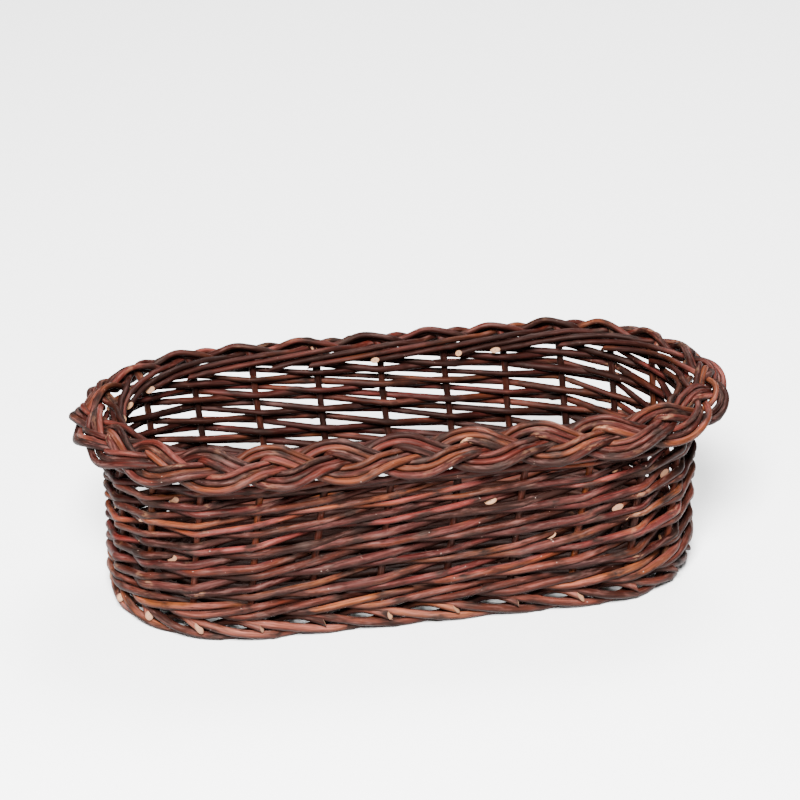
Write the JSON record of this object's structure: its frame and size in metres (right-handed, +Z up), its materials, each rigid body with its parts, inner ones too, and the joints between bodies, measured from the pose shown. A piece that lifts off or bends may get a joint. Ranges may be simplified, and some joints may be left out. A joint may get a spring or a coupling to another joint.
{
  "type": "woven willow basket",
  "caption": "Oblong open basket with round ends, woven from unpeeled willow rods, with a plaited border and a twisted foot.",
  "frame": {"origin": "centre of the basket on the surface it stands on", "axes": "+X along the basket towards its right-hand end, +Y towards its back, +Z up"},
  "size_m": [0.4186, 0.2042, 0.1338],
  "materials": {
    "stake_bark": "dark reddish brown unpeeled willow bark, satin",
    "red_bark": "reddish unpeeled willow bark, satin",
    "brown_bark": "brown unpeeled willow bark, satin",
    "grey_bark": "greyish mauve unpeeled willow bark, dull satin",
    "plait_bark": "reddish brown unpeeled willow bark, satin",
    "base_bark": "dark brown unpeeled willow bark, matt"
  },
  "bodies": {
    "root": {"base_stick_1": "stake_bark", "base_stick_2": "stake_bark", "base_stick_3": "stake_bark", "base_stick_4": "stake_bark", "base_weave": "base_bark", "foot_border": "brown_bark", "plait_strand_1": "plait_bark", "plait_strand_2": "brown_bark", "plait_strand_3": "red_bark", "stake_01": "stake_bark", "stake_02": "stake_bark", "stake_03": "stake_bark", "stake_04": "stake_bark", "stake_05": "stake_bark", "stake_06": "stake_bark", "stake_07": "stake_bark", "stake_08": "stake_bark", "stake_09": "stake_bark", "stake_10": "stake_bark", "stake_11": "stake_bark", "stake_12": "stake_bark", "stake_13": "stake_bark", "stake_14": "stake_bark", "stake_15": "stake_bark", "stake_16": "stake_bark", "stake_17": "stake_bark", "stake_18": "stake_bark", "stake_19": "stake_bark", "stake_20": "stake_bark", "stake_21": "stake_bark", "stake_22": "stake_bark", "stake_23": "stake_bark", "stake_24": "stake_bark", "stake_25": "stake_bark", "upsett_wale": "brown_bark", "weaver_01": "red_bark", "weaver_02": "brown_bark", "weaver_03": "grey_bark", "weaver_04": "red_bark", "weaver_05": "brown_bark", "weaver_06": "grey_bark", "weaver_07": "red_bark", "weaver_08": "brown_bark", "weaver_09": "grey_bark", "weaver_10": "red_bark", "weaver_11": "brown_bark", "weaver_12": "grey_bark", "weaver_13": "red_bark", "weaver_14": "brown_bark", "weaver_15": "grey_bark", "weaver_16": "red_bark", "weaver_17": "brown_bark", "weaver_18": "grey_bark", "weaver_19": "red_bark", "weaver_20": "brown_bark", "weaver_21": "grey_bark", "weaver_22": "red_bark", "weaver_23": "brown_bark", "weaver_24": "grey_bark", "weaver_25": "red_bark"}
  },
  "joints": []
}
